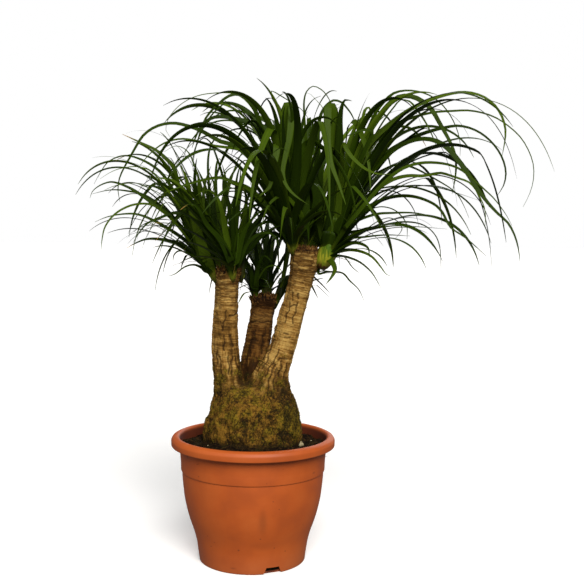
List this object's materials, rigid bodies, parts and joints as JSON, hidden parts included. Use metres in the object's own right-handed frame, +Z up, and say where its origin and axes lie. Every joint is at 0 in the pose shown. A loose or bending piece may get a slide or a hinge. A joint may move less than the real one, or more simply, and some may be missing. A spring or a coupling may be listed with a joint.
{
  "type": "potted ponytail palm",
  "caption": "Potted ponytail palm with a swollen woody foot, forked corky stems and crowns of long arching strap leaves, in a tapered round plastic pot of peat.",
  "frame": {"origin": "on the pot's axis, at the flat underside that the pot stands on", "axes": "+Z up; -Y towards the viewer of the front, so +X is to the right when seen from the front"},
  "size_m": [0.5996, 0.5272, 0.6146],
  "materials": {
    "pot_plastic": "satin terracotta-coloured plastic, faintly soiled",
    "peat": "dark crumbly peat with small bits of moss",
    "bark": "dry corky bark with ring scars above, cracked plates and moss below",
    "leaf": "satin dark green strap leaf with fine parallel veins"
  },
  "bodies": {
    "root": {"pot": "pot_plastic", "soil": "peat", "trunk": "bark", "shoot_left_outer": "leaf", "shoot_left_front": "leaf", "shoot_left_inner": "leaf", "shoot_left_back": "leaf", "shoot_middle_outer": "leaf", "shoot_middle_back": "leaf", "shoot_middle_inner": "leaf", "shoot_right_front": "leaf", "shoot_right_back": "leaf", "shoot_right_outer": "leaf"}
  },
  "joints": []
}
